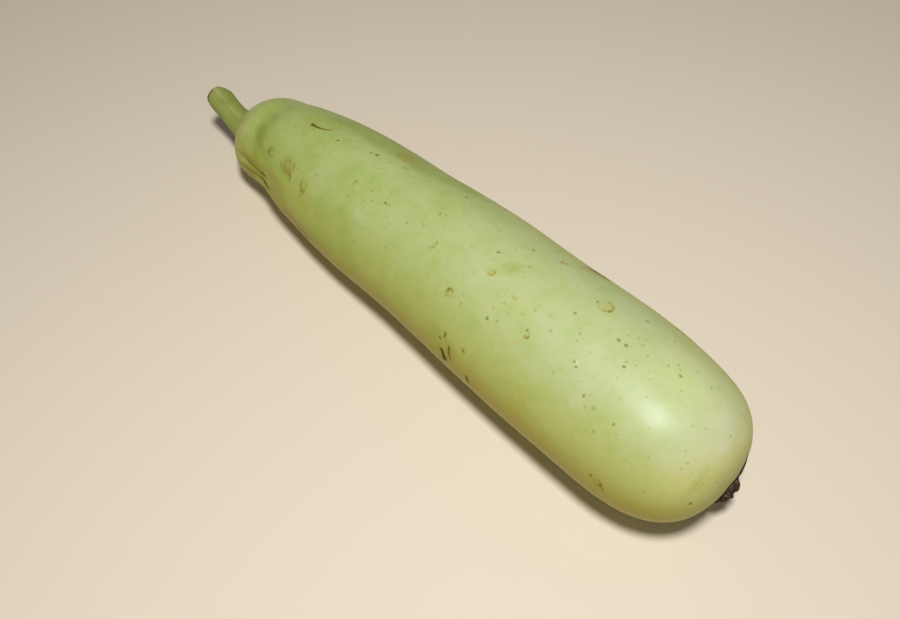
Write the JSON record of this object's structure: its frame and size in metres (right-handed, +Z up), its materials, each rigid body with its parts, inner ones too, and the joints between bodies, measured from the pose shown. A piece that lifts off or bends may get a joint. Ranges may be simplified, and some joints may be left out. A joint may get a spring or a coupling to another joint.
{
  "type": "bottle gourd",
  "caption": "Bottle gourd lying on its side: a pale green club-shaped fruit with a folded neck, a short cut stalk and a dried flower at its blunt end. Rests on a small flat.",
  "frame": {"origin": "the middle of the gourd's outline on the surface it lies on", "axes": "+X along the fruit from its stalk to its flower end, +Z up from the surface, +Y to the side"},
  "size_m": [0.2826, 0.0652, 0.0628],
  "materials": {
    "gourd_skin": "waxy fresh skin, pale green with darker mottling",
    "stalk_skin": "green ribbed stem, dry at the cut",
    "dried_flower_husk": "dry crumpled brown-black petals"
  },
  "bodies": {
    "root": {"fruit": "gourd_skin", "stalk": "stalk_skin", "dried_flower": "dried_flower_husk"}
  },
  "joints": []
}
